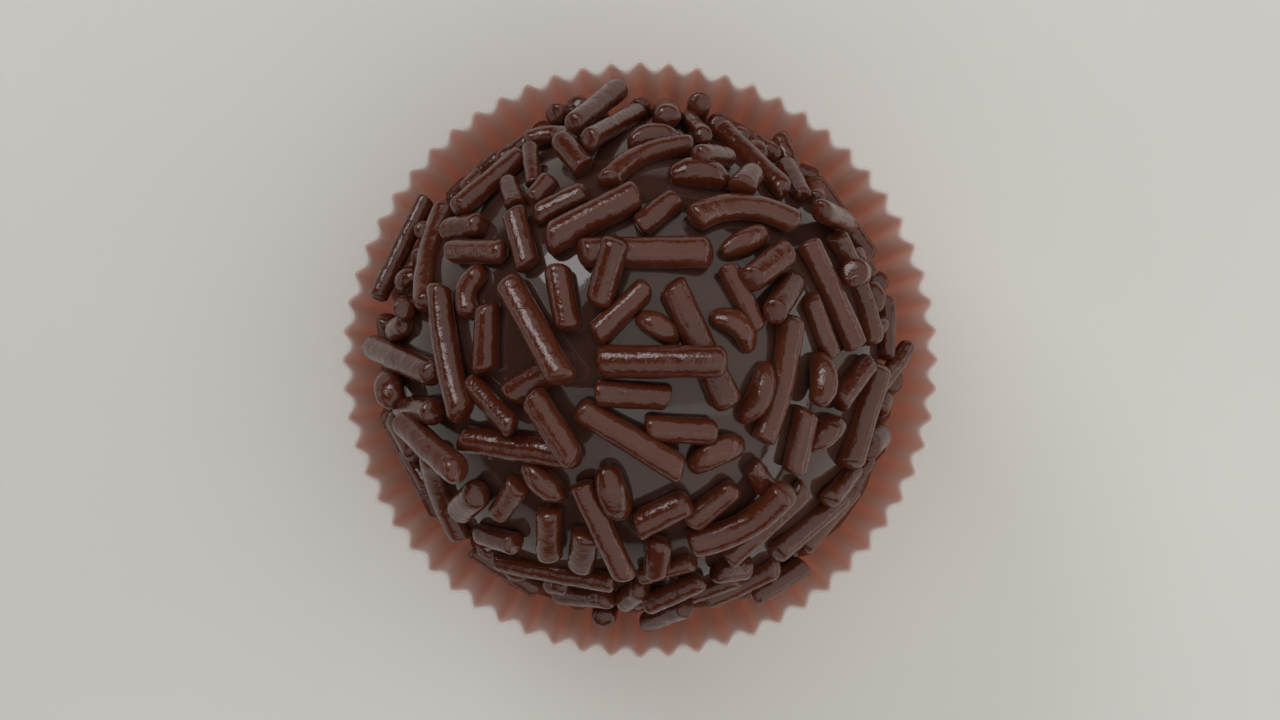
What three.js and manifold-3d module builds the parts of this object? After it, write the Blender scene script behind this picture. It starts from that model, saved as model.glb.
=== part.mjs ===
// A brigadeiro: a hand-rolled ball of chocolate fudge coated in chocolate sprinkles, in its pleated
// paper case.
// Millimetres, +Z up. The origin is the centre of the case's underside, on which it stands.

import * as THREE from 'three';
import { mergeVertices } from 'three/addons/utils/BufferGeometryUtils.js';
import Module from 'manifold-3d';

// ---- Driving dimensions ----

const PAPER = 0.2;              // thickness of the case's paper
const PLEATS = 64;
const PLEAT_DEPTH = 0.56;       // crest to valley at the mouth
const BASE_RADIUS = 13.2;       // of the case, where its flat base ends
const FOLD = 0.5;               // how far the fold from base to wall rises and spreads
const MOUTH_RADIUS = 17.95;     // of the case, midway between crests and valleys
const CASE_HEIGHT = 17;

const FUDGE_RADIUS = 14.7;      // of the bare ball, at its waist
const FUDGE_SAG = 0.98;         // height over width, as the soft ball settles
const LUMP = 0.1;               // how uneven rolling by hand leaves the fudge
const WAVE_ONE = new THREE.Vector3(5, 2, 0);      // the two waves of that unevenness, in radians
const WAVE_TWO = new THREE.Vector3(0, 4, -5);     // to a radius of the ball
const WAVE_SHIFT = 1;
const GAP = 0.3;                // least space between the ball and the paper

const SUNK = 0.26;              // how deep a sprinkle presses into the fudge
const SQUEEZE = 0.74;           // distance of two touching sprinkles' axes, over the sum of their radii
const SINK = 0.3;               // how deep a standing sprinkle's first end goes, over its last end's height
const RISE = 0.05;              // one step up while a sprinkle finds its rest
const STIFF = 0.5;              // most that a long sprinkle keeps out of the ball's curve, end to middle
const MIDDLE = 0.4;             // of that, how much its middle sinks in, while its ends stand off
const PIECES = 6;               // lengths that a sprinkle's axis is worked out in
const SIDES = 5;                // of a sprinkle's section
const CORNER = 1.1;             // radius of that section's corners, over that of the round one it is for
const LONG = 6;                 // a sprinkle from this length on is made of three lengths
const MIDDLING = 3.8;           // and from this length on of two, as every tapered or bent one is
const FUDGE_DETAIL = 3;         // how often the fudge's facets are split
const FUDGE_CORNER = 1.005;     // the same for the fudge
const BEAN_TIP = 0.45;          // end radius of a tapered sprinkle, over its middle radius
const BEAN_SHOULDER = 1.6;      // how soon it reaches its middle radius

const FILL_FROM = 62;           // the rule's sprinkles start this many degrees of arc from the crown
const FILL_TRIES = 6000;
const FILL_LENGTHS = [9, 3.3];  // longest and shortest, tried in that order
const FILL_WIDTHS = [1.25, 1.55];
const FILL_SPACE = 1.02;        // least distance of their axes, over the sum of their radii
const FILL_BOW = 1.5;           // most that they bow, in degrees
const BEAN_SHARE = 0.2;         // of the rule's sprinkles, how many are tapered
const SEED = 20407;
const RANDOM_FACTOR = 16807;    // of the row of random numbers
const RANDOM_TOP = 2147483647;

const WELD = 1e-4;              // points nearer than this are one

// The sprinkles of the crown, laid by hand, the lowest first. Places are on a map round the crown, in
// degrees of arc towards +X and towards +Y. A row is: first end, last end, width in mm, how far it bows
// to its left in degrees, and how far its last end and its first end stand up in mm.
const LOW_RODS = [
  [[-79, -20], [-67, -44], 1.1, 0, 0.15, 0.3], [[-73, -26.5], [-63, -38], 1.1, 0, 0.1, 0.1],
  [[-26, -73], [-8, -66], 1.3], [[-13, -94], [-11, -78], 1.5, 0, 0.8],
  [[-22, 89], [-26, 74], 1.3, 0, 0.8], [[-14, 92], [-21, 81], 1.2, 0, 1],
  [[-43, 61], [-27, 66], 1.1, 6, 0.1, 0.1], [[-32, 61], [-18, 58.5], 1.1, 3],
  [[22, 95], [18, 78], 1.4, 0, 0.9], [[-12.8, 22.4], [15.2, 22.4], 1.65], [[-18, 20.5], [-15, 6], 1.4],
  [[-9.7, 4.6], [1.7, 15.6], 1.3], [[-29, -8], [-14.6, 0], 1.4], [[6.3, 15.8], [18.5, -10], 1.5],
  [[-9.4, -6.9], [6.1, -7.6], 1.4], [[-42, -18], [-13, -20], 1.55], [[18.7, 20.3], [25.9, 6.3], 1.15],
  [[22, 16], [34, 25], 1.5], [[1, -14.1], [16, -15], 1.4], [[-13.2, -9.7], [8.6, -22], 1.4],
  [[33, 10], [26, -17.5], 1.4, 1.7], [[24.4, -23], [29.3, -30], 1.2], [[-34.3, 13], [-34.4, -2.9], 1.4],
  [[-36.3, 20.8], [-39.1, 10.1], 1.25, -3.2], [[-47, 26.8], [-30.4, 24.6], 1.35],
  [[-39, -5], [-25.6, -14], 1.2], [[-53, 13], [-58, 46], 1.3, 2], [[-69, 40], [-61.5, 37], 1.15],
  [[-78, 18], [-66, 50], 1.1, 0, 1.2, 1.4], [[-71, 8], [-62, 10], 1.3],
  [[-66, 16], [-57.5, 12], 1.15, 0, 0.4], [[-67, -13.5], [-46.8, -12], 1.4, 0, 0.6],
  [[-53, -23.5], [-54, -54], 1.4, -2.5], [[-55, -62], [-34, -78], 1.2, 0, 0.15, 0.2],
  [[-45, -48], [-30.3, -45], 1.25, 0, 0.3], [[-41.5, -57.7], [-6.2, -56.2], 1.2],
  [[-27.4, -28], [-35.2, -38.5], 1.25], [[-20.5, -33.5], [-22.5, -49.5], 1.45],
  [[-12, -39], [-15, -52], 1.5], [[13.5, -49.8], [0, -55], 1.1], [[1, -59.5], [-5, -70], 1.35],
  [[13, -72], [28, -62], 1.1], [[19, -54], [30, -56], 1.4], [[21, -49.5], [40, -30.5], 1.3],
  [[10.6, -37], [21.3, -27.6], 1.35], [[15.5, -53.5], [1.5, -64], 1.2],
  [[13, -68], [2, -84], 1.2, 0, 1], [[26, -78], [36, -74], 1.2, 0, 0.4],
  [[34, -71.5], [52, -64.5], 1.35, 0, 0.7, 0.5], [[35.5, -51.5], [59, -39], 1.35],
  [[68, -40], [48, -56], 1.3], [[64, -32], [49, -37], 1.2, 0, 0.3], [[4.6, -40.5], [3.7, -51], 1.4],
  [[39.5, 28.3], [53.8, 3], 1.35, 0.3], [[51, 33], [63, 4], 1.2, 2.5], [[39.6, 15], [46.4, 0.5], 1.1],
  [[77, 19.5], [74, 0.5], 1.15, 0, 0, 0.4], [[65.5, -1], [55.2, -28.3], 1.5],
  [[38, -11], [35.6, -26], 1.4], [[62, -24], [73, -22], 1.7], [[78, -11.5], [72, -15.5], 1.2],
  [[-50.5, 41], [-35.5, 60], 1.1], [[-50, 34], [-38, 33], 1.4], [[-45.3, 36.8], [-31.5, 57], 1.3],
  [[-34, 46], [-29.5, 36.8], 1.2], [[-28.6, 34], [-24.6, 20.3], 1.3], [[-28.8, 56], [-26, 43], 0.95],
  [[-21.2, 44.4], [-25.8, 37.3], 1.15], [[-20.5, 25.5], [0, 36], 1.7], [[-0.5, 28.3], [8.3, 36.3], 1.3],
  [[-7.5, 39.6], [13.5, 53.5], 1.25, 3.2], [[-0.5, 77], [-12, 50.5], 1.2, 0, 0.7],
  [[-17, 59], [-6.3, 82], 1.3, 0, 1.2], [[9, 84], [7, 62], 1.5, 0, 0.5],
  [[-0.5, 84], [1.5, 92], 1.35, 0, 0.1, 0.1], [[23.4, 69.5], [36.5, 42], 1.25],
  [[30, 68.5], [43.5, 65], 1.2, 5, 0.1, 0.1], [[11.2, 30], [36.8, 31.6], 1.45, 3.8],
  [[57, 61], [77, 33.5], 1.2, 0, 0.2, 0.25], [[44, 59.5], [43.5, 43], 1.2],
  [[50.5, 62], [44.7, 73], 1.15, 0, 1.2, 0.3], [[56, 69], [63, 64], 1.2, 0, 0.6, 0.2],
  [[73, 53], [76, 45], 1.2, 0, 0.1, 0.1], [[57, 55], [49.5, 45], 1.2],
  [[-67, 57], [-60, 63], 1.25, 0, 0.1, 0.1], [[-56, 60], [-45, 66], 1.2],
];
const LOW_BEANS = [
  [[16, 9], [23.5, 2.5], 1.35, 1.8], [[0, 8.8], [7.5, 4], 1.25, 0.4],
  [[27.6, -1.5], [22.3, -12.8], 1.5, 0.8], [[-25.3, -24.3], [-17.9, -31], 1.5, 0.8],
  [[42, 0.3], [39.3, -9], 1.5, 0.3], [[67.5, 21.5], [67, 14.7], 1.3],
  [[-2, 55.5], [10, 58.5], 1.3, 0.6], [[8, 43], [20, 43.2], 1.6], [[-71, -3.6], [-65, -11], 1.6],
  [[19, 24], [29.3, 29.3], 1.35],
];
const HIGH_RODS = [
  [[-48, -3.5], [-80, 4], 1.5, 0, 0.5], [[70, -10], [81, 4], 1.1, 0, 1.2],
  [[-9.2, -0.3], [16, -0.3], 1.75, 0, 1.4], [[-4.3, 23.7], [-9, 11], 1.5],
  [[-29.5, 18], [-14.5, -4], 1.5], [[-22, -7], [-12.5, -19.5], 1.5],
  [[-47.8, 17.9], [-37.8, -12], 1.5, -1.3], [[-58.5, -15], [-35.3, -22.4], 1.5, 0, 0.9],
  [[36.5, 19], [26.7, 9.2], 1.35, 0, 1], [[-24.5, 33], [-12, 38.4], 1.25],
  [[22.8, 53], [12.6, 44], 1.2, 0, 0.8], [[15.3, 78], [16.5, 57.3], 1.1, 0, 0.3],
  [[28.4, 47.1], [23, 39.3], 1.45, 0, 0.3], [[62, 40.5], [40.5, 33.8], 1.35, 0, 1.2, 0.4],
  [[56.5, 22], [50.3, 20.7], 1.5, 0, 0.8], [[47.8, -10.7], [61, -0.3], 1.3],
  [[-48, -40], [-37.6, -30.8], 1.6, 0, 0.2], [[-12.8, -26.2], [-3, -48.5], 1.35],
  [[-1.3, -37.3], [10.8, -30.2], 1.6], [[11, -42], [30.8, -26.8], 1.6, -3],
  [[-13, 45], [-20, 54.5], 1.4, 0, 0.6],
];
const HIGH_BEANS = [
  [[41, -20.5], [49, -16], 1.6, 1.1], [[12, -23.5], [21.7, -19.2], 1.5, 2],
  [[-4, -34.5], [-7, -24], 1.65, 0, 0.2],
];

// ---- Worked out ----

const radians = THREE.MathUtils.degToRad;
const mix = THREE.MathUtils.lerp;
const WIDEST = Math.max(...FILL_WIDTHS);
const REACH = WIDEST - SUNK + LUMP;     // how far the lowest sprinkle stands out from the round ball
const BALL_CENTRE = PAPER + GAP + REACH + FUDGE_RADIUS * FUDGE_SAG;

const wasm = await Module();
wasm.setup();

// Numbers from 0 to 1, the same in every run.
function makeRandom(seed) {
  let state = seed;
  return () => {
    state = (state * RANDOM_FACTOR) % RANDOM_TOP;
    return state / RANDOM_TOP;
  };
}

function solidOf(geometry) {
  geometry.deleteAttribute('normal');
  geometry.deleteAttribute('uv');
  const merged = mergeVertices(geometry, WELD);
  return new wasm.Manifold(new wasm.Mesh({
    numProp: 3,
    vertProperties: merged.attributes.position.array,
    triVerts: new Uint32Array(merged.index.array),
  }));
}

function meshOf(name, solid, material) {
  const { vertProperties, numProp, triVerts } = solid.getMesh();
  const geometry = new THREE.BufferGeometry();
  geometry.setAttribute('position', new THREE.BufferAttribute(vertProperties, numProp));
  geometry.setIndex(new THREE.BufferAttribute(triVerts, 1));
  geometry.computeVertexNormals();
  const mesh = new THREE.Mesh(geometry, material);
  mesh.name = name;
  return mesh;
}

// ---- Paper case ----

function makeCase() {
  const wallFoot = BASE_RADIUS + FOLD;
  const profile = [
    [0, 0], [BASE_RADIUS, 0], [wallFoot, FOLD],
    [MOUTH_RADIUS + PAPER / 2, CASE_HEIGHT], [MOUTH_RADIUS - PAPER / 2, CASE_HEIGHT],
    [wallFoot - PAPER, FOLD], [BASE_RADIUS - PAPER / 2, PAPER], [0, PAPER],
  ].map(([radius, height]) => new THREE.Vector2(radius, height));
  const geometry = new THREE.LatheGeometry(profile, 2 * PLEATS).rotateX(Math.PI / 2);
  const places = geometry.attributes.position;
  const p = new THREE.Vector3();
  for (let i = 0; i < places.count; i++) {
    p.fromBufferAttribute(places, i);
    const share = Math.max(p.z - FOLD, 0) / (CASE_HEIGHT - FOLD);
    const radius = Math.max(Math.hypot(p.x, p.y), WELD);
    const pleat = Math.cos(PLEATS * Math.atan2(p.y, p.x));
    const grow = 1 + share * PLEAT_DEPTH / 2 * pleat / radius;
    places.setXY(i, p.x * grow, p.y * grow);
  }
  return solidOf(geometry);
}

// Mean radius of the case's inside at a height.
function wallAt(height) {
  const share = (height - FOLD) / (CASE_HEIGHT - FOLD);
  return mix(BASE_RADIUS + FOLD, MOUTH_RADIUS - PAPER / 2, share) - PAPER / 2;
}

// ---- Fudge ----

// Distance from the ball's centre to the fudge's surface in a direction.
function fudgeAt(d) {
  const round = FUDGE_RADIUS / Math.hypot(d.x, d.y, d.z / FUDGE_SAG);
  return round + LUMP * (Math.sin(WAVE_ONE.dot(d)) + Math.cos(WAVE_TWO.dot(d) + WAVE_SHIFT));
}

function makeFudge() {
  const geometry = new THREE.IcosahedronGeometry(1, FUDGE_DETAIL);
  const places = geometry.attributes.position;
  const d = new THREE.Vector3();
  for (let i = 0; i < places.count; i++) {
    d.fromBufferAttribute(places, i).normalize();
    d.multiplyScalar(FUDGE_CORNER * fudgeAt(d));
    places.setXYZ(i, d.x, d.y, d.z);
  }
  return solidOf(geometry);
}

// ---- Sprinkles ----

// Direction from the ball's centre of a place on the map round the crown.
function directionOf([east, north]) {
  const arc = radians(Math.hypot(east, north));
  const turn = Math.atan2(north, east);
  return new THREE.Vector3(Math.sin(arc) * Math.cos(turn), Math.sin(arc) * Math.sin(turn), Math.cos(arc));
}

// Directions along a sprinkle, which bows to the left of its way.
function wayOf(first, last, bow) {
  const left = new THREE.Vector3().crossVectors(first, last).normalize();
  const span = first.angleTo(last);
  const way = [];
  for (let i = 0; i <= PIECES; i++) {
    const t = i / PIECES;
    const d = new THREE.Vector3().addScaledVector(first, Math.sin((1 - t) * span));
    d.addScaledVector(last, Math.sin(t * span)).normalize();
    d.addScaledVector(left, 4 * t * (1 - t) * radians(bow)).normalize();
    way.push(d);
  }
  return way;
}

// Radii along a sprinkle: a rod is even, and a bean tapers to its ends.
function radiiOf(kind, radius) {
  const radii = [];
  for (let i = 0; i <= PIECES; i++) {
    const taper = Math.min(1, BEAN_SHOULDER * (1 - Math.abs(2 * i / PIECES - 1)));
    radii.push(kind === 'bean' ? radius * mix(BEAN_TIP, 1, taper) : radius);
  }
  return radii;
}

// Points along a sprinkle's axis, with its ends raised off the fudge. It stays straighter than the ball's
// curve.
function axisOf(way, radii, lifts) {
  const rise = FUDGE_RADIUS * (1 - Math.cos(way[0].angleTo(way[PIECES]) / 2));
  const stiff = Math.min(STIFF, rise);
  return way.map((d, i) => {
    const t = i / PIECES;
    const height = fudgeAt(d) + radii[i] - SUNK + mix(lifts[0], lifts[1], t);
    return d.clone().multiplyScalar(height + stiff * ((2 * t - 1) ** 2 - MIDDLE));
  });
}

// Least distance of two sprinkles' axes over the sum of their radii, and where on the first it is.
function closest(axis, radii, other) {
  let best = { ratio: Infinity, at: 0 };
  axis.forEach((p, i) => {
    other.axis.forEach((q, k) => {
      const ratio = p.distanceTo(q) / (radii[i] + other.radii[k]);
      if (ratio < best.ratio) best = { ratio, at: i / PIECES };
    });
  });
  return best;
}

// A sprinkle at rest on the fudge and on those laid before it: where it would cross one, its nearer end
// goes up.
function settle(kind, [first, last, width, bow = 0, stand = 0, foot = 0], laid) {
  const way = wayOf(directionOf(first), directionOf(last), bow);
  const radii = radiiOf(kind, width / 2);
  const lifts = [foot - SINK * stand, stand];
  let axis = axisOf(way, radii, lifts);
  for (const other of laid) {
    let near = closest(axis, radii, other);
    while (near.ratio < SQUEEZE) {
      lifts[near.at < 0.5 ? 0 : 1] += RISE;
      axis = axisOf(way, radii, lifts);
      near = closest(axis, radii, other);
    }
  }
  return { axis, radii };
}

function clearsCase({ axis, radii }) {
  return axis.every((p, i) => {
    const height = p.z + BALL_CENTRE;
    const reach = Math.hypot(p.x, p.y) + CORNER * radii[i] + PLEAT_DEPTH / 2 + GAP;
    return height > CASE_HEIGHT + radii[i] || reach < wallAt(height);
  });
}

function layCrown() {
  const laid = [];
  const layers = [['rod', LOW_RODS], ['bean', LOW_BEANS], ['rod', HIGH_RODS], ['bean', HIGH_BEANS]];
  for (const [kind, rows] of layers) {
    for (const row of rows) {
      const sprinkle = settle(kind, row, laid);
      if (clearsCase(sprinkle)) laid.push(sprinkle);
    }
  }
  return laid;
}

// The rest of the ball: random places below the crown, the longest sprinkles first, each clear of all
// others.
function layRest(laid) {
  const random = makeRandom(SEED);
  for (let i = 0; i < FILL_TRIES; i++) {
    const turn = 2 * Math.PI * random();
    const height = mix(-1, Math.cos(radians(FILL_FROM)), random());
    const level = Math.sqrt(1 - height * height);
    const middle = new THREE.Vector3(level * Math.cos(turn), level * Math.sin(turn), height);
    const heading = new THREE.Vector3(-Math.sin(turn), Math.cos(turn), 0);
    heading.applyAxisAngle(middle, Math.PI * random());
    const radius = mix(...FILL_WIDTHS, random()) / 2;
    const length = mix(...FILL_LENGTHS, i / FILL_TRIES);
    const half = (length - 2 * radius) / 2 / (FUDGE_RADIUS + radius);
    const first = middle.clone().multiplyScalar(Math.cos(half)).addScaledVector(heading, -Math.sin(half));
    const last = middle.clone().multiplyScalar(Math.cos(half)).addScaledVector(heading, Math.sin(half));
    const bow = mix(-FILL_BOW, FILL_BOW, random());
    const radii = radiiOf(random() < BEAN_SHARE ? 'bean' : 'rod', radius);
    const axis = axisOf(wayOf(first, last, bow), radii, [0, 0]);
    const sprinkle = { axis, radii };
    const free = laid.every((other) => closest(axis, radii, other).ratio > FILL_SPACE);
    if (free && clearsCase(sprinkle)) laid.push(sprinkle);
  }
  return laid;
}

// How many pieces of its axis make one length of a sprinkle's solid.
function stepOf({ axis, radii }) {
  const length = axis[0].distanceTo(axis[PIECES]);
  const middle = axis[0].clone().lerp(axis[PIECES], 0.5);
  const bent = middle.distanceTo(axis[PIECES / 2]) > radii[0];
  const tapered = radii[0] < radii[PIECES / 2];
  if (length > LONG) return PIECES / 3;
  if (length > MIDDLING || bent || tapered) return PIECES / 2;
  return PIECES;
}

// A faceted sprinkle: rings of points round its axis, joined as a hull of each length between two rings.
function sprinkleSolid(sprinkle) {
  const { axis, radii } = sprinkle;
  const step = stepOf(sprinkle);
  const rings = [];
  for (let i = 0; i <= PIECES; i += step) {
    const ahead = axis[Math.min(i + 1, PIECES)].clone().sub(axis[Math.max(i - 1, 0)]).normalize();
    const side = new THREE.Vector3().crossVectors(ahead, axis[i]).normalize();
    const up = new THREE.Vector3().crossVectors(side, ahead);
    const ring = [];
    for (let k = 0; k < SIDES; k++) {
      const turn = 2 * Math.PI * k / SIDES;
      const p = axis[i].clone().addScaledVector(up, CORNER * radii[i] * Math.cos(turn));
      ring.push(p.addScaledVector(side, CORNER * radii[i] * Math.sin(turn)).toArray());
    }
    rings.push(ring);
  }
  const lengths = [];
  for (let i = 1; i < rings.length; i++) lengths.push(wasm.Manifold.hull([...rings[i - 1], ...rings[i]]));
  return wasm.Manifold.union(lengths);
}

function makeBall() {
  const sprinkles = layRest(layCrown());
  const joined = wasm.Manifold.union([makeFudge(), ...sprinkles.map(sprinkleSolid)]);
  const shells = joined.decompose();      // the outer one, and those of pockets that sprinkles seal
  const [outer] = shells.sort((a, b) => b.volume() - a.volume());
  return outer.translate([0, 0, BALL_CENTRE]);
}

// ---- Assembly ----

const chocolate = new THREE.MeshStandardMaterial({ color: 0x553c33, roughness: 0.35, metalness: 0 });
const paper = new THREE.MeshStandardMaterial({ color: 0xd9a08c, roughness: 0.85, metalness: 0 });

const brigadeiro = new THREE.Group();
brigadeiro.add(meshOf('brigadeiro', makeBall(), chocolate));
brigadeiro.add(meshOf('paper_case', makeCase(), paper));

export default brigadeiro;
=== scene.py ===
"""A brigadeiro in its pleated paper case, seen from straight above.

Shapes are worked out in millimetres and turned into Blender's metres as each mesh is made. Places on
the ball are measured from its centre. The layout of the sprinkles repeats the one in the solids, and
then adds small ones in the gaps of the flank.
"""
from math import atan2, cos, hypot, pi, radians, sin, sqrt

import bmesh
import bpy
import numpy as np
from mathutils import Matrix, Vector, noise


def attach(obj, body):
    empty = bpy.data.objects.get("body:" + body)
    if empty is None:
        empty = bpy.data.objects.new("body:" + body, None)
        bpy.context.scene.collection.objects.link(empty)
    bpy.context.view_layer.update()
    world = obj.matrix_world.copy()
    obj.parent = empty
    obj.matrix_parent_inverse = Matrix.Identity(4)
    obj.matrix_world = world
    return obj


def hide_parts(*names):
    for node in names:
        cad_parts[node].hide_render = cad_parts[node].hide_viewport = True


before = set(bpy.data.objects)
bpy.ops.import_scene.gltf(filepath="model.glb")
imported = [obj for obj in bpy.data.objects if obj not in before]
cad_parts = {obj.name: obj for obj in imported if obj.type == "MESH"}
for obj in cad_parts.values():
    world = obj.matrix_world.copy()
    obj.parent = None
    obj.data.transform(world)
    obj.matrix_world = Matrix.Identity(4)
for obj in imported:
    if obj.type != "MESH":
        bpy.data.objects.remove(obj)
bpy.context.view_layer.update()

BODY = "root"
MM = 0.001

# ---- Sizes of the solids, in mm ----

PAPER = 0.2                     # thickness of the case's paper
PLEATS = 64
PLEAT_DEPTH = 0.56              # crest to valley at the mouth
BASE_RADIUS = 13.2              # of the case, where its flat base ends
FOLD = 0.5                      # how far the fold from base to wall rises and spreads
MOUTH_RADIUS = 17.95            # of the case, midway between crests and valleys
CASE_HEIGHT = 17

FUDGE_RADIUS = 14.7             # of the bare ball, at its waist
FUDGE_SAG = 0.98                # height over width, as the soft ball settles
LUMP = 0.1                      # how uneven rolling by hand leaves the fudge
WAVE_ONE = (5, 2, 0)            # the two waves of that unevenness, in radians
WAVE_TWO = (0, 4, -5)           # to a radius of the ball
WAVE_SHIFT = 1
GAP = 0.3                       # least space between the ball and the paper

SUNK = 0.26                     # how deep a sprinkle presses into the fudge
SQUEEZE = 0.74                  # distance of two touching sprinkles' axes, over the sum of their radii
SINK = 0.3                      # how deep a standing sprinkle's first end goes, over its last's height
RISE = 0.05                     # one step up while a sprinkle finds its rest
STIFF = 0.5                     # most that a long one keeps out of the ball's curve, end to middle
MIDDLE = 0.4                    # of that, how much its middle sinks in, while its ends stand off
PIECES = 6                      # lengths that a sprinkle's axis is worked out in
CORNER = 1.1                    # radius of its section's corners in the solids, over its own
BEAN_TIP = 0.45                 # end radius of a tapered sprinkle, over its middle radius
BEAN_SHOULDER = 1.6             # how soon it reaches its middle radius

FILL_FROM = 62                  # the rule's sprinkles start this many degrees of arc from the crown
FILL_TRIES = 6000
FILL_LENGTHS = (9, 3.3)         # longest and shortest, tried in that order
FILL_WIDTHS = (1.25, 1.55)
FILL_SPACE = 1.02               # least distance of their axes, over the sum of their radii
FILL_BOW = 1.5                  # most that they bow, in degrees
BEAN_SHARE = 0.2                # of the rule's sprinkles, how many are tapered
SEED = 20407
RANDOM_FACTOR = 16807           # of the row of random numbers
RANDOM_TOP = 2147483647

REACH = max(FILL_WIDTHS) - SUNK + LUMP      # how far the lowest sprinkle stands out from the round ball
BALL_CENTRE = PAPER + GAP + REACH + FUDGE_RADIUS * FUDGE_SAG

# The sprinkles of the crown, the lowest first: first end and last end in degrees of arc from the crown,
# towards +X and towards +Y, then width in mm, bow to the left in degrees, and how far the last end and
# the first stand up, in mm.
LOW_RODS = [
    ((-79, -20), (-67, -44), 1.1, 0, 0.15, 0.3), ((-73, -26.5), (-63, -38), 1.1, 0, 0.1, 0.1),
    ((-26, -73), (-8, -66), 1.3), ((-13, -94), (-11, -78), 1.5, 0, 0.8),
    ((-22, 89), (-26, 74), 1.3, 0, 0.8), ((-14, 92), (-21, 81), 1.2, 0, 1),
    ((-43, 61), (-27, 66), 1.1, 6, 0.1, 0.1), ((-32, 61), (-18, 58.5), 1.1, 3),
    ((22, 95), (18, 78), 1.4, 0, 0.9), ((-12.8, 22.4), (15.2, 22.4), 1.65), ((-18, 20.5), (-15, 6), 1.4),
    ((-9.7, 4.6), (1.7, 15.6), 1.3), ((-29, -8), (-14.6, 0), 1.4), ((6.3, 15.8), (18.5, -10), 1.5),
    ((-9.4, -6.9), (6.1, -7.6), 1.4), ((-42, -18), (-13, -20), 1.55), ((18.7, 20.3), (25.9, 6.3), 1.15),
    ((22, 16), (34, 25), 1.5), ((1, -14.1), (16, -15), 1.4), ((-13.2, -9.7), (8.6, -22), 1.4),
    ((33, 10), (26, -17.5), 1.4, 1.7), ((24.4, -23), (29.3, -30), 1.2), ((-34.3, 13), (-34.4, -2.9), 1.4),
    ((-36.3, 20.8), (-39.1, 10.1), 1.25, -3.2), ((-47, 26.8), (-30.4, 24.6), 1.35),
    ((-39, -5), (-25.6, -14), 1.2), ((-53, 13), (-58, 46), 1.3, 2), ((-69, 40), (-61.5, 37), 1.15),
    ((-78, 18), (-66, 50), 1.1, 0, 1.2, 1.4), ((-71, 8), (-62, 10), 1.3),
    ((-66, 16), (-57.5, 12), 1.15, 0, 0.4), ((-67, -13.5), (-46.8, -12), 1.4, 0, 0.6),
    ((-53, -23.5), (-54, -54), 1.4, -2.5), ((-55, -62), (-34, -78), 1.2, 0, 0.15, 0.2),
    ((-45, -48), (-30.3, -45), 1.25, 0, 0.3), ((-41.5, -57.7), (-6.2, -56.2), 1.2),
    ((-27.4, -28), (-35.2, -38.5), 1.25), ((-20.5, -33.5), (-22.5, -49.5), 1.45),
    ((-12, -39), (-15, -52), 1.5), ((13.5, -49.8), (0, -55), 1.1), ((1, -59.5), (-5, -70), 1.35),
    ((13, -72), (28, -62), 1.1), ((19, -54), (30, -56), 1.4), ((21, -49.5), (40, -30.5), 1.3),
    ((10.6, -37), (21.3, -27.6), 1.35), ((15.5, -53.5), (1.5, -64), 1.2),
    ((13, -68), (2, -84), 1.2, 0, 1), ((26, -78), (36, -74), 1.2, 0, 0.4),
    ((34, -71.5), (52, -64.5), 1.35, 0, 0.7, 0.5), ((35.5, -51.5), (59, -39), 1.35),
    ((68, -40), (48, -56), 1.3), ((64, -32), (49, -37), 1.2, 0, 0.3), ((4.6, -40.5), (3.7, -51), 1.4),
    ((39.5, 28.3), (53.8, 3), 1.35, 0.3), ((51, 33), (63, 4), 1.2, 2.5), ((39.6, 15), (46.4, 0.5), 1.1),
    ((77, 19.5), (74, 0.5), 1.15, 0, 0, 0.4), ((65.5, -1), (55.2, -28.3), 1.5),
    ((38, -11), (35.6, -26), 1.4), ((62, -24), (73, -22), 1.7), ((78, -11.5), (72, -15.5), 1.2),
    ((-50.5, 41), (-35.5, 60), 1.1), ((-50, 34), (-38, 33), 1.4), ((-45.3, 36.8), (-31.5, 57), 1.3),
    ((-34, 46), (-29.5, 36.8), 1.2), ((-28.6, 34), (-24.6, 20.3), 1.3), ((-28.8, 56), (-26, 43), 0.95),
    ((-21.2, 44.4), (-25.8, 37.3), 1.15), ((-20.5, 25.5), (0, 36), 1.7), ((-0.5, 28.3), (8.3, 36.3), 1.3),
    ((-7.5, 39.6), (13.5, 53.5), 1.25, 3.2), ((-0.5, 77), (-12, 50.5), 1.2, 0, 0.7),
    ((-17, 59), (-6.3, 82), 1.3, 0, 1.2), ((9, 84), (7, 62), 1.5, 0, 0.5),
    ((-0.5, 84), (1.5, 92), 1.35, 0, 0.1, 0.1), ((23.4, 69.5), (36.5, 42), 1.25),
    ((30, 68.5), (43.5, 65), 1.2, 5, 0.1, 0.1), ((11.2, 30), (36.8, 31.6), 1.45, 3.8),
    ((57, 61), (77, 33.5), 1.2, 0, 0.2, 0.25), ((44, 59.5), (43.5, 43), 1.2),
    ((50.5, 62), (44.7, 73), 1.15, 0, 1.2, 0.3), ((56, 69), (63, 64), 1.2, 0, 0.6, 0.2),
    ((73, 53), (76, 45), 1.2, 0, 0.1, 0.1), ((57, 55), (49.5, 45), 1.2),
    ((-67, 57), (-60, 63), 1.25, 0, 0.1, 0.1), ((-56, 60), (-45, 66), 1.2),
]
LOW_BEANS = [
    ((16, 9), (23.5, 2.5), 1.35, 1.8), ((0, 8.8), (7.5, 4), 1.25, 0.4),
    ((27.6, -1.5), (22.3, -12.8), 1.5, 0.8), ((-25.3, -24.3), (-17.9, -31), 1.5, 0.8),
    ((42, 0.3), (39.3, -9), 1.5, 0.3), ((67.5, 21.5), (67, 14.7), 1.3),
    ((-2, 55.5), (10, 58.5), 1.3, 0.6), ((8, 43), (20, 43.2), 1.6), ((-71, -3.6), (-65, -11), 1.6),
    ((19, 24), (29.3, 29.3), 1.35),
]
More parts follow.
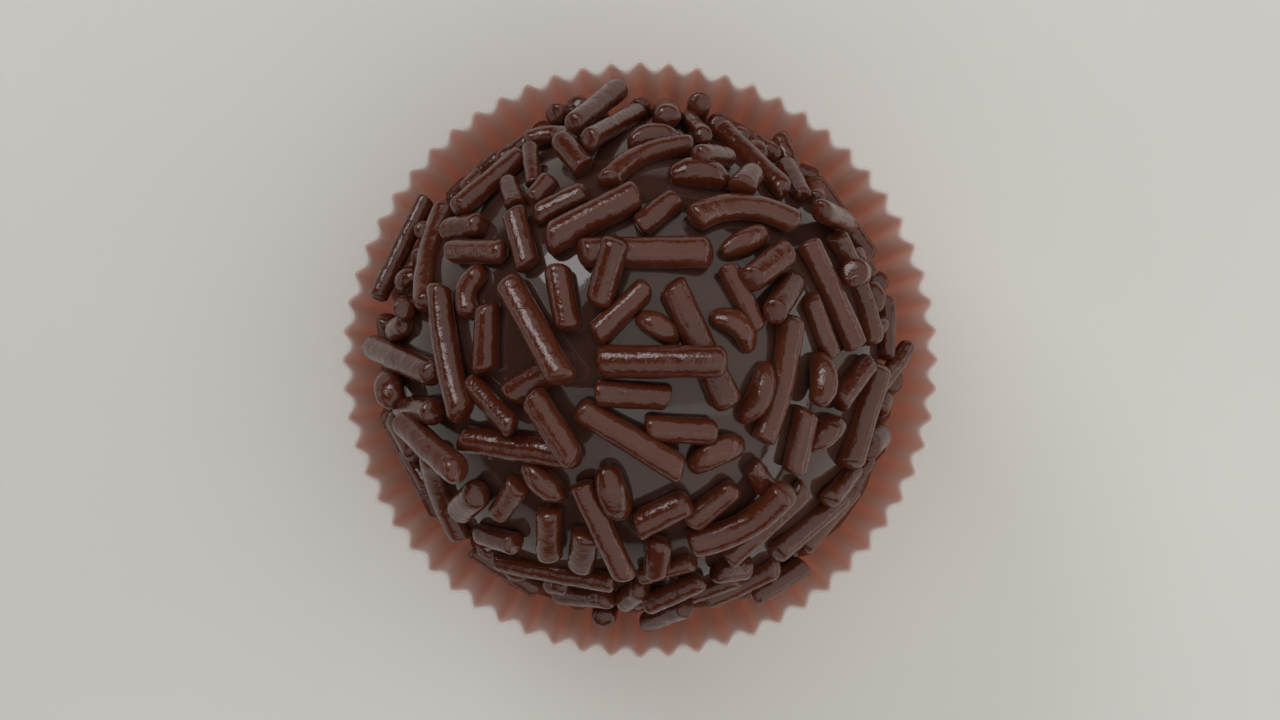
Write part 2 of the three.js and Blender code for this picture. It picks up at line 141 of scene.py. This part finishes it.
HIGH_RODS = [
    ((-48, -3.5), (-80, 4), 1.5, 0, 0.5), ((70, -10), (81, 4), 1.1, 0, 1.2),
    ((-9.2, -0.3), (16, -0.3), 1.75, 0, 1.4), ((-4.3, 23.7), (-9, 11), 1.5),
    ((-29.5, 18), (-14.5, -4), 1.5), ((-22, -7), (-12.5, -19.5), 1.5),
    ((-47.8, 17.9), (-37.8, -12), 1.5, -1.3), ((-58.5, -15), (-35.3, -22.4), 1.5, 0, 0.9),
    ((36.5, 19), (26.7, 9.2), 1.35, 0, 1), ((-24.5, 33), (-12, 38.4), 1.25),
    ((22.8, 53), (12.6, 44), 1.2, 0, 0.8), ((15.3, 78), (16.5, 57.3), 1.1, 0, 0.3),
    ((28.4, 47.1), (23, 39.3), 1.45, 0, 0.3), ((62, 40.5), (40.5, 33.8), 1.35, 0, 1.2, 0.4),
    ((56.5, 22), (50.3, 20.7), 1.5, 0, 0.8), ((47.8, -10.7), (61, -0.3), 1.3),
    ((-48, -40), (-37.6, -30.8), 1.6, 0, 0.2), ((-12.8, -26.2), (-3, -48.5), 1.35),
    ((-1.3, -37.3), (10.8, -30.2), 1.6), ((11, -42), (30.8, -26.8), 1.6, -3),
    ((-13, 45), (-20, 54.5), 1.4, 0, 0.6),
]
HIGH_BEANS = [
    ((41, -20.5), (49, -16), 1.6, 1.1), ((12, -23.5), (21.7, -19.2), 1.5, 2),
    ((-4, -34.5), (-7, -24), 1.65, 0, 0.2),
]

# ---- Sizes of the finish, in mm ----

BENT = 0.7                      # a rod that bows more than this many degrees counts as bent
CROWN_STEP = 0.2                # length of a facet along a sprinkle of the crown
CROWN_SIDES = 24
FLANK_STEP = 0.3
FLANK_SIDES = 16
SMALL_LENGTHS = (3, 1.9)        # of the small sprinkles in the gaps, which the solids leave out
SMALL_WIDTHS = (1, 1.25)
PLUMP = 1.06                    # a sprinkle's radius here, over that of its axis in the layout
CAP = (0.25, 0.5, 0.7, 0.84, 0.94, 0.985, 1)     # rings of a rod's end, over its radius
CAP_ROUND = 2.6                 # 2 is a round end, and more is flatter with a tighter edge
CAP_DEPTHS = (0.35, 0.8)        # of the rounding, over the rod's radius
LEAN = 0.3                      # most that an end is cut aslant, as a slope
LEAN_REACH = 2.2                # how far in from a rod's end the slant is felt, over its radius
TAPER = 0.06                    # most that a sprinkle's end is thicker or thinner than its middle
OVAL = 0.05                     # most that its section is out of round
NEARBY = 0.02                   # half the share of an axis that its direction is taken over
BEAN_POINTS = (0.45, 1.0)       # how blunt or pointed the end of a bean is
BEAN_OVER = 0.35                # how far a bean goes past its axis, over its radius
BEAN_FACETS = ((2, 0.06), (3, 0.06))      # sides and depth of the waves round a bean
LUMPS = ((1.5, 0.045), (0.45, 0.02))      # wavelength and height of a sprinkle's unevenness
LUMPS_APART = 50                # most that the places for two sprinkles' noise lie apart
CORE_LUMPS = ((6, 0.05), (2.2, 0.02))
CORE_DETAIL = 6
CASE_COLUMNS = 12               # to a pleat
CASE_ROWS = 36                  # up the wall
PLEAT_SHARP = 0.15              # how much sharper a crest is than a valley
BASE_RINGS = (0.3, 0.6, 0.8, 0.9, 1)      # of the case's flat base, over its radius

# ---- Colours and gloss ----

NOISE_RANGE = (0.3, 0.7)        # where most values of a noise lie
TONE_RANGE = (0.2, 1.8)         # the same for a sprinkle's own tone and a noise added up
CHOCOLATE_TONES = (
    (0, (0.064, 0.0124, 0.0047)), (0.5, (0.077, 0.0166, 0.0075)), (1, (0.092, 0.024, 0.0117)),
)
CHOCOLATE_CLOUDS = 1.6          # wavelength of the noise that its tones follow, in mm
CHOCOLATE_GLOSS = (0.9, 0.04, 0.08)                     # wavelength in mm, least and most roughness
CHOCOLATE_BUMPS = ((0.7, 4, 0.075), (0.2, 3, 0.02))     # wavelength in mm, detail and height in mm

FUDGE_TONES = ((0.3, (0.042, 0.017, 0.012)), (0.5, (0.05, 0.021, 0.015)), (0.7, (0.06, 0.026, 0.019)))
FUDGE_CLOUDS = 5
FUDGE_GLOSS = (3, 0.04, 0.07)
FUDGE_BUMPS = ((2.5, 2, 0.02), (0.4, 2, 0.003))

PAPER_BUMPS = ((0.25, 4, 0.01),)
PAPER_GLOW = 0.6                # share of the light that comes through the paper
PAPER_SHADING_FROM = 6             # height in mm of the first tone in each row below; from here up to the rim the tones grow paler as painted light
PAPER_SHADING_AT = (0.0, 0.7, 0.95, 1.0)    # where the four tones lie, from that height up to the rim

# The paper is LIT by the light that falls on it, and has the GLOW of the light that comes through. Both
# rows of tones are darker and redder low on the wall and paler up to the rim, which is painted shade and
# painted light, and the crests' redder tones are painted light coming through the folds.
LIT_VALLEY = ((0.61, 0.38, 0.3), (0.7, 0.52, 0.45), (0.78, 0.63, 0.6), (0.92, 0.89, 0.87))
LIT_CREST = ((0.63, 0.38, 0.29), (0.75, 0.53, 0.45), (0.8, 0.65, 0.58), (0.92, 0.89, 0.87))
GLOW_VALLEY = ((0.66, 0.36, 0.27), (0.75, 0.49, 0.41), (0.82, 0.63, 0.58), (0.94, 0.9, 0.89))
GLOW_CREST = ((0.74, 0.36, 0.26), (0.83, 0.49, 0.4), (0.86, 0.62, 0.56), (0.94, 0.89, 0.87))

# ---- Camera and light, in mm ----

FLOOR_HALF = 2500
FLOOR_TONES = ((0.3, (0.7, 0.69, 0.67)), (0.7, (0.74, 0.73, 0.71)))
FLOOR_CLOUDS = 60
CAMERA_HEIGHT = 125.4
CLIP_START = 10
LENS = 50
ROOM = (0.015, 0.015, 0.015)    # light of the dark room round the lamps
WARM = (1, 0.98, 0.94)
WHITE = (1, 1, 1)
LAMPS = (                       # name, place, what it faces, width, depth, how bright it looks, colour
    ("main_softbox", (202, 0, 200), (202, 0, 0), 526, 900, 0.86, WARM),
    ("south_softbox", (-196, -242, 200), (-196, -242, 0), 270, 416, 0.72, WARM),
    ("west_softbox", (-700, 0, 120), (0, 0, 0), 900, 130, 1.2, WHITE),
    ("east_softbox", (600, -150, 115), (0, 0, 0), 1050, 170, 1.6, WARM),
    ("key", (-142, 176, 196), (0, 0, BALL_CENTRE), 130, 105, 3.9, WHITE),
    ("key_halo", (-145, 179.7, 200), (0, 0, BALL_CENTRE), 190, 160, 0.9, WHITE),
    ("strip", (150, -75, 196), (150, -75, 0), 400, 25, 0.43, WHITE),
)


# ---- Meshes ----

def add_object(name, points, faces, material, tone=None):
    """A smooth mesh object from points in mm, riding on the body. tone is one value for each point."""
    mesh = bpy.data.meshes.new(name)
    mesh.from_pydata((np.asarray(points) * MM).tolist(), [], faces)
    mesh.shade_smooth()
    mesh.materials.append(material)
    if tone is not None:
        values = mesh.attributes.new("tone", "FLOAT", "POINT").data
        values.foreach_set("value", np.asarray(tone, dtype=np.float32))
    obj = bpy.data.objects.new(name, mesh)
    bpy.context.scene.collection.objects.link(obj)
    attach(obj, BODY)
    return obj


def relief(points, waves, shift=0.0):
    """Height of an uneven surface at each point, summed from smooth noise of (wavelength, height)."""
    heights = np.zeros(len(points))
    for length, height in waves:
        places = points / length + (shift, 0, 0)
        heights += [height * noise.noise(Vector(place)) for place in places]
    return heights


def tube_faces(rings, sides):
    """Faces of a tube: rings of points laid one after the other, then a point to close each end."""
    faces = []
    for i in range(rings - 1):
        row = i * sides
        for k in range(sides):
            after = (k + 1) % sides
            faces.append((row + k, row + after, row + sides + after, row + sides + k))
    first = rings * sides
    last = first + 1
    row = first - sides
    for k in range(sides):
        after = (k + 1) % sides
        faces.append((first, after, k))
        faces.append((last, row + k, row + after))
    return faces


# ---- Fudge ----

def fudge_at(d):
    """Distance from the ball's centre to the fudge's surface, in each direction of an array."""
    round_ball = FUDGE_RADIUS / np.linalg.norm(d / (1, 1, FUDGE_SAG), axis=-1)
    return round_ball + LUMP * (np.sin(d @ WAVE_ONE) + np.cos(d @ WAVE_TWO + WAVE_SHIFT))


def make_core(material):
    """The ball of fudge that the sprinkles stick to."""
    ball = bmesh.new()
    bmesh.ops.create_icosphere(ball, subdivisions=CORE_DETAIL, radius=1)
    directions = np.array([v.co.normalized() for v in ball.verts])
    faces = [[v.index for v in face.verts] for face in ball.faces]
    ball.free()
    points = directions * fudge_at(directions)[:, None]
    points += directions * relief(points, CORE_LUMPS)[:, None]
    points[:, 2] += BALL_CENTRE
    return add_object("fudge", points, faces, material)


# ---- Layout of the sprinkles ----

def make_random(seed):
    """Numbers from 0 to 1, the same in every run."""
    state = seed
    while True:
        state = state * RANDOM_FACTOR % RANDOM_TOP
        yield state / RANDOM_TOP


def swing(random, most):
    """A random number from -most to most."""
    return most * (2 * next(random) - 1)


def mix(a, b, share):
    return a + (b - a) * share


def direction_of(place):
    """Direction from the ball's centre of a place on the map round the crown."""
    east, north = place
    arc = radians(hypot(east, north))
    turn = atan2(north, east)
    return np.array((sin(arc) * cos(turn), sin(arc) * sin(turn), cos(arc)))


def unit(v):
    return v / np.linalg.norm(v, axis=-1, keepdims=True)


class Sprinkle:
    """One sprinkle: end directions, radius in mm, bow in degrees, and how far up its ends are, in mm."""

    def __init__(self, kind, first, last, radius, bow=0.0, lifts=(0.0, 0.0)):
        self.kind = kind
        self.first = first
        self.last = last
        self.radius = radius
        self.bow = bow
        self.lifts = list(lifts)
        self.span = atan2(np.linalg.norm(np.cross(first, last)), first @ last)
        self.length = self.span * FUDGE_RADIUS
        self.stiff = min(STIFF, FUDGE_RADIUS * (1 - cos(self.span / 2)))

    def way(self, t):
        """Directions along it, t being 0 at its first end and 1 at its last."""
        left = unit(np.cross(self.first, self.last))
        d = np.outer(np.sin((1 - t) * self.span), self.first)
        d += np.outer(np.sin(t * self.span), self.last)
        return unit(unit(d) + np.outer(4 * t * (1 - t) * radians(self.bow), left))

    def radii(self, t):
        """Its radius at places along it."""
        if self.kind == "rod":
            return np.full(len(t), self.radius)
        taper = np.minimum(1, BEAN_SHOULDER * (1 - np.abs(2 * t - 1)))
        return self.radius * mix(BEAN_TIP, 1, taper)

    def axis(self, t):
        """Points along its axis."""
        d = self.way(t)
        height = fudge_at(d) + self.radii(t) - SUNK + mix(self.lifts[0], self.lifts[1], t)
        height += self.stiff * ((2 * t - 1) ** 2 - MIDDLE)
        return d * height[:, None]


STEPS = np.arange(PIECES + 1) / PIECES


def clears_case(axis, radii):
    """Whether a sprinkle keeps clear of the case's wall."""
    height = axis[:, 2] + BALL_CENTRE
    reach = np.hypot(axis[:, 0], axis[:, 1]) + CORNER * radii + PLEAT_DEPTH / 2 + GAP
    share = (height - FOLD) / (CASE_HEIGHT - FOLD)
    wall = mix(BASE_RADIUS + FOLD, MOUTH_RADIUS - PAPER / 2, share) - PAPER / 2
    return bool(np.all((height > CASE_HEIGHT + radii) | (reach < wall)))


class Layout:
    """The sprinkles laid so far, with the axes and radii that a new one is tried against."""

    def __init__(self):
        self.sprinkles = []
        self.axes = np.empty((0, PIECES + 1, 3))
        self.rims = np.empty((0, PIECES + 1))

    def add(self, sprinkle):
        self.sprinkles.append(sprinkle)
        self.axes = np.concatenate([self.axes, sprinkle.axis(STEPS)[None]])
        self.rims = np.concatenate([self.rims, sprinkle.radii(STEPS)[None]])

    def ratios(self, axis, radii, only=slice(None)):
        """Distances of the axis from the laid ones, over the sums of the radii, at each two places."""
        apart = np.linalg.norm(axis[None, :, None] - self.axes[only][:, None], axis=-1)
        return apart / (radii[None, :, None] + self.rims[only][:, None])

    def settle(self, sprinkle):
        """Where the sprinkle would cross one laid before it, its nearer end goes up."""
        for i in range(len(self.sprinkles)):
            while True:
                near = self.ratios(sprinkle.axis(STEPS), sprinkle.radii(STEPS), slice(i, i + 1))[0]
                if near.min() >= SQUEEZE:
                    break
                at = near.argmin() // (PIECES + 1) / PIECES
                sprinkle.lifts[0 if at < 0.5 else 1] += RISE


def lay_crown(layout):
    """The listed sprinkles, each brought to rest on those before it."""
    for kind, rows in (("rod", LOW_RODS), ("bean", LOW_BEANS), ("rod", HIGH_RODS), ("bean", HIGH_BEANS)):
        for first, last, width, *more in rows:
            bow, stand, foot = (more + [0, 0, 0])[:3]
            lifts = (foot - SINK * stand, stand)
            sprinkle = Sprinkle(kind, direction_of(first), direction_of(last), width / 2, bow, lifts)
            layout.settle(sprinkle)
            if clears_case(sprinkle.axis(STEPS), sprinkle.radii(STEPS)):
                layout.add(sprinkle)


def lay_rest(layout, seed, lengths, widths):
    """Sprinkles at random places below the crown, the longest first, each clear of all others."""
    random = make_random(seed)
    for i in range(FILL_TRIES):
        turn = 2 * pi * next(random)
        height = mix(-1, cos(radians(FILL_FROM)), next(random))
        level = sqrt(1 - height * height)
        middle = np.array((level * cos(turn), level * sin(turn), height))
        across = np.array((-sin(turn), cos(turn), 0))
        heading = pi * next(random)
        along = across * cos(heading) + np.cross(middle, across) * sin(heading)
        radius = mix(*widths, next(random)) / 2
        length = mix(*lengths, i / FILL_TRIES)
        half = (length - 2 * radius) / 2 / (FUDGE_RADIUS + radius)
        bow = mix(-FILL_BOW, FILL_BOW, next(random))
        kind = "bean" if next(random) < BEAN_SHARE else "rod"
        first = middle * cos(half) - along * sin(half)
        last = middle * cos(half) + along * sin(half)
        sprinkle = Sprinkle(kind, first, last, radius, bow)
        axis = sprinkle.axis(STEPS)
        radii = sprinkle.radii(STEPS)
        if np.all(layout.ratios(axis, radii) > FILL_SPACE) and clears_case(axis, radii):
            layout.add(sprinkle)


# ---- Shape of a sprinkle ----

def rod_profile(length, radius, step, random):
    """(place along it, share of its radius) of each ring of a rod, from the first end to the last."""
    depths = [radius * mix(*CAP_DEPTHS, next(random)) for _ in range(2)]
    round_in = [1 - (1 - share ** CAP_ROUND) ** (1 / CAP_ROUND) for share in CAP]
    body = length - sum(depths)
    count = max(3, round(body / step))
    rings = [(depths[0] * way, share) for way, share in zip(round_in, CAP)]
    rings += [(depths[0] + body * i / count, 1.0) for i in range(1, count)]
    rings += [(length - depths[1] * way, share) for way, share in reversed(list(zip(round_in, CAP)))]
    return rings


def bean_profile(length, radius, step, random):
    """The same of a bean. Its radius doesn't count, as its ends are as long as the bean."""
    count = 2 * max(8, round(length / step))
    points = [mix(*BEAN_POINTS, next(random)) for _ in range(2)]
    rings = []
    for i in range(1, count):
        turn = pi * i / count
        rings.append((length * (1 - cos(turn)) / 2, sin(turn) ** mix(*points, i / count)))
    return rings


def bean_facets(turn, phases):
    """How far a bean's section stands out at each turn round it, over a round section."""
    facets = np.ones(len(turn))
    for (count, depth), phase in zip(BEAN_FACETS, phases):
        facets += depth * np.cos(count * turn + phase)
    return facets


def sprinkle_shape(sprinkle, step, sides, random):
    """Points and faces of one sprinkle."""
    is_rod = sprinkle.kind == "rod"
    radius = sprinkle.radius * PLUMP
    over = 0 if is_rod else BEAN_OVER * radius
    length = sprinkle.length + 2 * over
    make_profile = rod_profile if is_rod else bean_profile
    profile = make_profile(length, radius, step, random)
    along, share = np.array(profile).T
    taper = swing(random, TAPER)
    oval = 1 + swing(random, OVAL)
    leans = [(swing(random, LEAN), swing(random, LEAN)) for _ in range(2)]
    phases = [2 * pi * next(random) for _ in BEAN_FACETS]
    lumps_at = LUMPS_APART * next(random)

    t = np.clip((along - over) / sprinkle.length, 0, 1)
    ahead = unit(sprinkle.axis(np.clip(t + NEARBY, 0, 1)) - sprinkle.axis(np.clip(t - NEARBY, 0, 1)))
    centres = sprinkle.axis(t) + ahead * (along - over - t * sprinkle.length)[:, None]
    side = unit(np.cross(ahead, centres))
    up = np.cross(side, ahead)

    turn = 2 * pi * np.arange(sides) / sides
    facets = 1 if is_rod else bean_facets(turn, phases)
    reach = radius * share * mix(1, 1 + taper, 2 * t - 1)
    high = np.outer(reach, facets * np.cos(turn)) / oval
    wide = np.outer(reach, facets * np.sin(turn)) * oval
    points = centres[:, None] + high[..., None] * up[:, None] + wide[..., None] * side[:, None]
    if is_rod:
        for (a, b), away in zip(leans, (along, length - along)):
            fade = np.maximum(0, 1 - away / (LEAN_REACH * radius))[:, None]
            points += ((a * high + b * wide) * fade)[..., None] * ahead[:, None]

    out = unit(points - centres[:, None]) * share[:, None, None]
    points = points.reshape(-1, 3)
    points = points + out.reshape(-1, 3) * relief(points, LUMPS, lumps_at)[:, None]
    ends = np.array([points[:sides].mean(axis=0), points[-sides:].mean(axis=0)])
    return np.concatenate([points, ends]), tube_faces(len(profile), sides)


def make_sprinkles(name, sprinkles, step, sides, material, random):
    """One object of many sprinkles, each with a tone of its own."""
    points, faces, tone = [], [], []
    count = 0
    for sprinkle in sprinkles:
        shape, own = sprinkle_shape(sprinkle, step, sides, random)
        points.append(shape)
        faces += [tuple(count + i for i in face) for face in own]
        tone += [next(random)] * len(shape)
        count += len(shape)
    points = np.concatenate(points)
    points[:, 2] += BALL_CENTRE
    return add_object(name, points, faces, material, tone)


def make_coat(material):
    """The sprinkles: those of the crown in three kinds, and those below it in two."""
    layout = Layout()
    lay_crown(layout)
    crown = list(layout.sprinkles)
    lay_rest(layout, SEED, FILL_LENGTHS, FILL_WIDTHS)
    lay_rest(layout, SEED + 2, SMALL_LENGTHS, SMALL_WIDTHS)
    flank = layout.sprinkles[len(crown):]
    random = make_random(SEED + 1)
    straight = [s for s in crown if s.kind == "rod" and abs(s.bow) <= BENT]
    bent = [s for s in crown if s.kind == "rod" and abs(s.bow) > BENT]
    beans = [s for s in crown if s.kind == "bean"]
    flank_rods = [s for s in flank if s.kind == "rod"]
    flank_beans = [s for s in flank if s.kind == "bean"]
    return [
        make_sprinkles("crown_rods", straight, CROWN_STEP, CROWN_SIDES, material, random),
        make_sprinkles("crown_bent_rods", bent, CROWN_STEP, CROWN_SIDES, material, random),
        make_sprinkles("crown_beans", beans, CROWN_STEP, CROWN_SIDES, material, random),
        make_sprinkles("flank_rods", flank_rods, FLANK_STEP, FLANK_SIDES, material, random),
        make_sprinkles("flank_beans", flank_beans, FLANK_STEP, FLANK_SIDES, material, random),
    ]


# ---- Paper case ----

def case_profile():
    """(radius, height) round the paper, up the outside and down the inside."""
    wall_foot = BASE_RADIUS + FOLD
    wall_top = CASE_HEIGHT - PAPER / 3
    shares = np.linspace(0, 1, CASE_ROWS)
    heights = mix(FOLD, wall_top, shares)
    outside = list(zip(mix(wall_foot, MOUTH_RADIUS + PAPER / 2, shares), heights))
    inside = list(zip(mix(wall_foot - PAPER, MOUTH_RADIUS - PAPER / 2, shares), heights))
    rim = [(MOUTH_RADIUS + PAPER / 4, CASE_HEIGHT), (MOUTH_RADIUS - PAPER / 4, CASE_HEIGHT)]
    under = [(BASE_RADIUS * share, 0.0) for share in BASE_RINGS]
    floor = [(BASE_RADIUS * share - PAPER / 2, PAPER) for share in BASE_RINGS]
    return under + outside + rim + inside[::-1] + floor[::-1]


def make_case(material):
    """The pleated case as one closed skin, with tone as the height of a pleat's wave, which the paper's
    painted light on the crests follows.
    """
    profile = case_profile()
    columns = PLEATS * CASE_COLUMNS
    turn = 2 * pi * np.arange(columns) / columns
    wave = np.cos(PLEATS * turn)
    wave = wave - PLEAT_SHARP * (1 - wave * wave)
    points, fold = [], []
    for radius, height in profile:
        share = max(height - FOLD, 0) / (CASE_HEIGHT - FOLD)
        radii = radius + share * PLEAT_DEPTH / 2 * wave
        ring = [radii * np.cos(turn), radii * np.sin(turn), np.full(columns, height)]
        points.append(np.stack(ring, axis=1))
        fold.append(wave)
    points.append(np.array([[0, 0, 0], [0, 0, PAPER]]))
    fold.append(np.zeros(2))
    faces = tube_faces(len(profile), columns)
    return add_object("pleated_paper", np.concatenate(points), faces, material, np.concatenate(fold))


# ---- Materials ----

def new_material(name, colour, roughness):
    """A material whose colour and roughness hold until something finer is linked to them."""
    material = bpy.data.materials.new(name)
    material.use_nodes = True
    tree = material.node_tree
    shader = tree.nodes["Principled BSDF"]
    shader.inputs["Base Color"].default_value = (*colour, 1)
    shader.inputs["Roughness"].default_value = roughness
    return material, tree, shader


def add_node(tree, kind, **settings):
    """A shader node, with values for its inputs or its own settings."""
    node = tree.nodes.new(kind)
    for name, value in settings.items():
        if name in node.inputs:
            node.inputs[name].default_value = value
        else:
            setattr(node, name, value)
    return node


def add_noise(tree, wavelength, detail=2.0):
    """Noise with waves of about that many mm, in the object's own place."""
    place = add_node(tree, "ShaderNodeTexCoord")
    texture = add_node(tree, "ShaderNodeTexNoise", Scale=1 / (wavelength * MM), Detail=detail)
    tree.links.new(place.outputs["Object"], texture.inputs["Vector"])
    return texture.outputs["Fac"]


def add_ramp(tree, source, stops):
    """Colours at places from 0 to 1 along a source."""
    ramp = add_node(tree, "ShaderNodeValToRGB")
    elements = ramp.color_ramp.elements
    while len(elements) < len(stops):
        elements.new(0.5)
    for element, (place, colour) in zip(elements, stops):
        element.position = place
        element.color = (*colour, 1)
    tree.links.new(source, ramp.inputs["Fac"])
    return ramp.outputs["Color"]


def add_range(tree, source, low, high, to_low, to_high):
    """Values of a source from low to high, stretched to run from to_low to to_high."""
    node = add_node(tree, "ShaderNodeMapRange")
    for name, value in (("From Min", low), ("From Max", high), ("To Min", to_low), ("To Max", to_high)):
        node.inputs[name].default_value = value
    tree.links.new(source, node.inputs["Value"])
    return node.outputs["Result"]


def add_mix(tree, share, first, second):
    """A colour from the first to the second, by a share from 0 to 1."""
    node = add_node(tree, "ShaderNodeMix", data_type="RGBA")
    tree.links.new(share, node.inputs["Factor"])
    tree.links.new(first, node.inputs[6])
    tree.links.new(second, node.inputs[7])
    return node.outputs[2]


def add_gloss(tree, shader, wavelength, least, most):
    """Roughness that wanders between least and most."""
    rough = add_range(tree, add_noise(tree, wavelength, 3), *NOISE_RANGE, least, most)
    tree.links.new(rough, shader.inputs["Roughness"])


def add_bumps(tree, shader, bumps):
    """Bumps of (wavelength in mm, detail, height in mm), one on top of the other."""
    normal = None
    for wavelength, detail, height in bumps:
        bump = add_node(tree, "ShaderNodeBump", Strength=1.0, Distance=height * MM)
        tree.links.new(add_noise(tree, wavelength, detail), bump.inputs["Height"])
        if normal:
            tree.links.new(normal, bump.inputs["Normal"])
        normal = bump.outputs["Normal"]
    tree.links.new(normal, shader.inputs["Normal"])


def sprinkle_material():
    """Glossy chocolate, with a tone of its own for each sprinkle."""
    material, tree, shader = new_material("sprinkle_chocolate", (0.1, 0.031, 0.018), 0.2)
    tone = add_node(tree, "ShaderNodeAttribute", attribute_name="tone").outputs["Fac"]
    both = add_node(tree, "ShaderNodeMath", operation="ADD")
    tree.links.new(tone, both.inputs[0])
    tree.links.new(add_noise(tree, CHOCOLATE_CLOUDS), both.inputs[1])
    colour = add_ramp(tree, add_range(tree, both.outputs[0], *TONE_RANGE, 0, 1), CHOCOLATE_TONES)
    tree.links.new(colour, shader.inputs["Base Color"])
    add_gloss(tree, shader, *CHOCOLATE_GLOSS)
    add_bumps(tree, shader, CHOCOLATE_BUMPS)
    return material


def fudge_material():
    material, tree, shader = new_material("fudge", (0.05, 0.02, 0.014), 0.2)
    colour = add_ramp(tree, add_noise(tree, FUDGE_CLOUDS, 4), FUDGE_TONES)
    tree.links.new(colour, shader.inputs["Base Color"])
    add_gloss(tree, shader, *FUDGE_GLOSS)
    add_bumps(tree, shader, FUDGE_BUMPS)
    return material


def paper_material():
    """Thin greaseproof paper: pale where light falls on it, salmon where light comes through it."""
    material, tree, shader = new_material("case_paper", (0.9, 0.7, 0.62), 0.8)
    place = add_node(tree, "ShaderNodeTexCoord")
    split = add_node(tree, "ShaderNodeSeparateXYZ")
    tree.links.new(place.outputs["Object"], split.inputs["Vector"])
    # Painted shade and light by height: darker low on the wall, paler up to the rim.
    height = add_range(tree, split.outputs["Z"], PAPER_SHADING_FROM * MM, CASE_HEIGHT * MM, 0, 1)
    wave = add_node(tree, "ShaderNodeAttribute", attribute_name="tone").outputs["Fac"]
    # The pleat's wave picks crest or valley tones: the crests' redder tones are painted light coming
    # through the folds.
    fold = add_range(tree, wave, -1, 1, 0, 1)
    colours = [
        add_ramp(tree, height, list(zip(PAPER_SHADING_AT, tones)))
        for tones in (LIT_VALLEY, LIT_CREST, GLOW_VALLEY, GLOW_CREST)
    ]
    tree.links.new(add_mix(tree, fold, colours[0], colours[1]), shader.inputs["Base Color"])
    through = add_node(tree, "ShaderNodeBsdfTranslucent")
    tree.links.new(add_mix(tree, fold, colours[2], colours[3]), through.inputs["Color"])
    both = add_node(tree, "ShaderNodeMixShader", Fac=PAPER_GLOW)
    tree.links.new(shader.outputs["BSDF"], both.inputs[1])
    tree.links.new(through.outputs["BSDF"], both.inputs[2])
    tree.links.new(both.outputs["Shader"], tree.nodes["Material Output"].inputs["Surface"])
    add_bumps(tree, shader, PAPER_BUMPS)
    return material


def floor_material():
    material, tree, shader = new_material("studio_floor", (0.72, 0.71, 0.69), 0.7)
    colour = add_ramp(tree, add_noise(tree, FLOOR_CLOUDS, 3), FLOOR_TONES)
    tree.links.new(colour, shader.inputs["Base Color"])
    return material


# ---- Scene ----

def add_lamp(name, place, target, width, depth, radiance, colour):
    """A rectangular softbox. radiance is how bright it looks."""
    light = bpy.data.lights.new(name, "AREA")
    light.shape = "RECTANGLE"
    light.size = width * MM
    light.size_y = depth * MM
    light.energy = radiance * pi * width * MM * depth * MM
    light.color = colour
    lamp = bpy.data.objects.new(name, light)
    lamp.location = Vector(place) * MM
    lamp.rotation_euler = (Vector(target) - Vector(place)).to_track_quat("-Z", "Y").to_euler()
    lamp.visible_camera = False
    bpy.context.scene.collection.objects.link(lamp)


def add_floor():
    corners = [(x * FLOOR_HALF, y * FLOOR_HALF, 0) for x, y in ((-1, -1), (1, -1), (1, 1), (-1, 1))]
    mesh = bpy.data.meshes.new("studio_floor")
    mesh.from_pydata([Vector(corner) * MM for corner in corners], [], [(0, 1, 2, 3)])
    mesh.materials.append(floor_material())
    floor = bpy.data.objects.new("studio_floor", mesh)
    bpy.context.scene.collection.objects.link(floor)


def add_camera():
    camera = bpy.data.objects.new("camera", bpy.data.cameras.new("camera"))
    camera.data.lens = LENS
    camera.data.clip_start = CLIP_START * MM
    camera.location = (0, 0, CAMERA_HEIGHT * MM)
    bpy.context.scene.collection.objects.link(camera)
    bpy.context.scene.camera = camera


def add_lights():
    world = bpy.data.worlds.new("studio")
    world.use_nodes = True
    world.node_tree.nodes["Background"].inputs["Color"].default_value = (*ROOM, 1)
    bpy.context.scene.world = world
    for lamp in LAMPS:
        add_lamp(*lamp)
    bpy.context.scene.view_settings.view_transform = "Standard"


add_camera()
add_lights()
add_floor()

fudge = make_core(fudge_material())
coat = make_coat(sprinkle_material())
for piece in [fudge, *coat]:
    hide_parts("brigadeiro")

case = make_case(paper_material())
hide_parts("paper_case")
